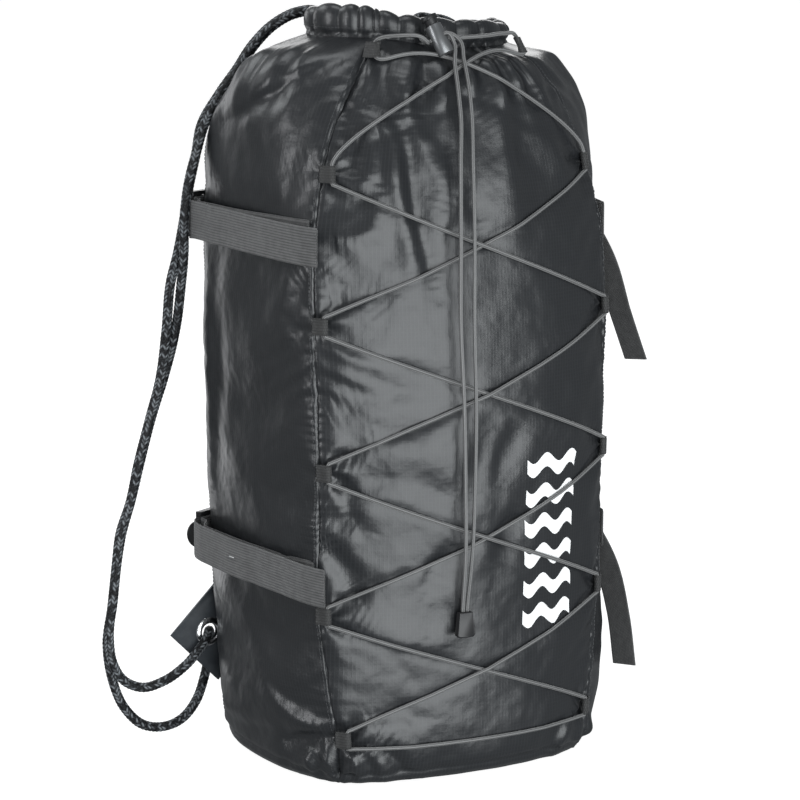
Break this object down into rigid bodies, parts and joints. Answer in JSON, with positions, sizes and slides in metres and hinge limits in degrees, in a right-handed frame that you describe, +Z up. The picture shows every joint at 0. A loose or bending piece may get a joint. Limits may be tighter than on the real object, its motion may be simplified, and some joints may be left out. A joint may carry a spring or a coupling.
{
  "type": "compression sack",
  "caption": "Drawstring pack of coated ripstop with side compression straps, elastic front lacing with a cord lock, and rope shoulder loops through corner eyelets.",
  "frame": {"origin": "middle of the base, on the surface the sack stands on", "axes": "+Z up along the sack's height; -Y towards the laced front; +X to the wearer's right as seen from the front"},
  "size_m": [0.4477, 0.277, 0.599],
  "materials": {
    "ripstop": "semi-gloss coated ripstop, charcoal",
    "rope": "braided polyester, black with grey fleck",
    "loop_webbing": "narrow ribbed tape, matt",
    "webbing": "ribbed polypropylene webbing, matt grey-black",
    "elastic": "braided sheath, grey",
    "coated_tab": "heavy coated fabric, smooth",
    "black_plastic": "moulded acetal, satin",
    "lock_metal": "glossy grey moulded plastic",
    "spring_wire": "drawn wire",
    "nickel": "bright nickel plate"
  },
  "bodies": {
    "sack": {"front_panel": "ripstop", "left_side_panel": "ripstop", "right_side_panel": "ripstop", "bottom_panel": "ripstop", "drawstring_hem": "ripstop", "rope_in_hem": "rope", "lacing_loops_left": "loop_webbing", "lacing_loops_right": "loop_webbing", "lacing_elastic": "elastic", "elastic_tail_long": "elastic", "elastic_tail_short": "elastic", "cord_lock_barrel": "lock_metal", "cord_lock_spring": "spring_wire", "cord_end_clip": "black_plastic", "strap_upper_left": "webbing", "strap_lower_left": "webbing", "strap_upper_right": "webbing", "strap_lower_right": "webbing"},
    "back": {"back_panel": "ripstop", "anchor_upper_left": "webbing", "anchor_lower_left": "webbing", "anchor_upper_right": "webbing", "anchor_lower_right": "webbing", "rope_tab_left": "coated_tab", "rope_tab_right": "coated_tab", "eyelet_left": "nickel", "eyelet_right": "nickel", "eyelet_washer_left": "nickel", "eyelet_washer_right": "nickel", "rope_left": "rope", "rope_right": "rope"},
    "lock_upper_left": {"ladder_lock_upper_left": "black_plastic"},
    "lock_lower_left": {"ladder_lock_lower_left": "black_plastic"},
    "lock_upper_right": {"ladder_lock_upper_right": "black_plastic"},
    "lock_lower_right": {"ladder_lock_lower_right": "black_plastic"},
    "button": {"cord_lock_plunger": "black_plastic"}
  },
  "joints": [
    {"name": "compress", "type": "slide", "parent": "sack", "child": "back", "axis": [0, -1, 0], "range_m": [0, 0.06], "deforming": ["left_side_panel", "right_side_panel", "bottom_panel", "drawstring_hem", "rope_in_hem", "strap_upper_left", "strap_lower_left", "strap_upper_right", "strap_lower_right", "rope_left", "rope_right"]},
    {"name": "tilt_upper_left", "type": "hinge", "parent": "back", "child": "lock_upper_left", "pos_m": [-0.12172, 0.10629, 0.43], "axis": [0, 0, -1], "range_deg": [0, 35], "deforming": ["strap_upper_left"]},
    {"name": "tilt_lower_left", "type": "hinge", "parent": "back", "child": "lock_lower_left", "pos_m": [-0.11789, 0.1076, 0.166], "axis": [0, 0, -1], "range_deg": [0, 35], "deforming": ["strap_lower_left"]},
    {"name": "tilt_upper_right", "type": "hinge", "parent": "back", "child": "lock_upper_right", "pos_m": [0.12172, 0.10629, 0.43], "axis": [0, 0, 1], "range_deg": [0, 35], "deforming": ["strap_upper_right"]},
    {"name": "tilt_lower_right", "type": "hinge", "parent": "back", "child": "lock_lower_right", "pos_m": [0.11845, 0.1076, 0.182], "axis": [0, 0, 1], "range_deg": [0, 35], "deforming": ["strap_lower_right"]},
    {"name": "cord_lock_button", "type": "slide", "parent": "sack", "child": "button", "axis": [0.2808, -0.4212, -0.8624], "range_m": [0, 0.005], "stiffness_N_per_m": 400, "springref_m": -0.004, "deforming": ["cord_lock_spring"]}
  ]
}
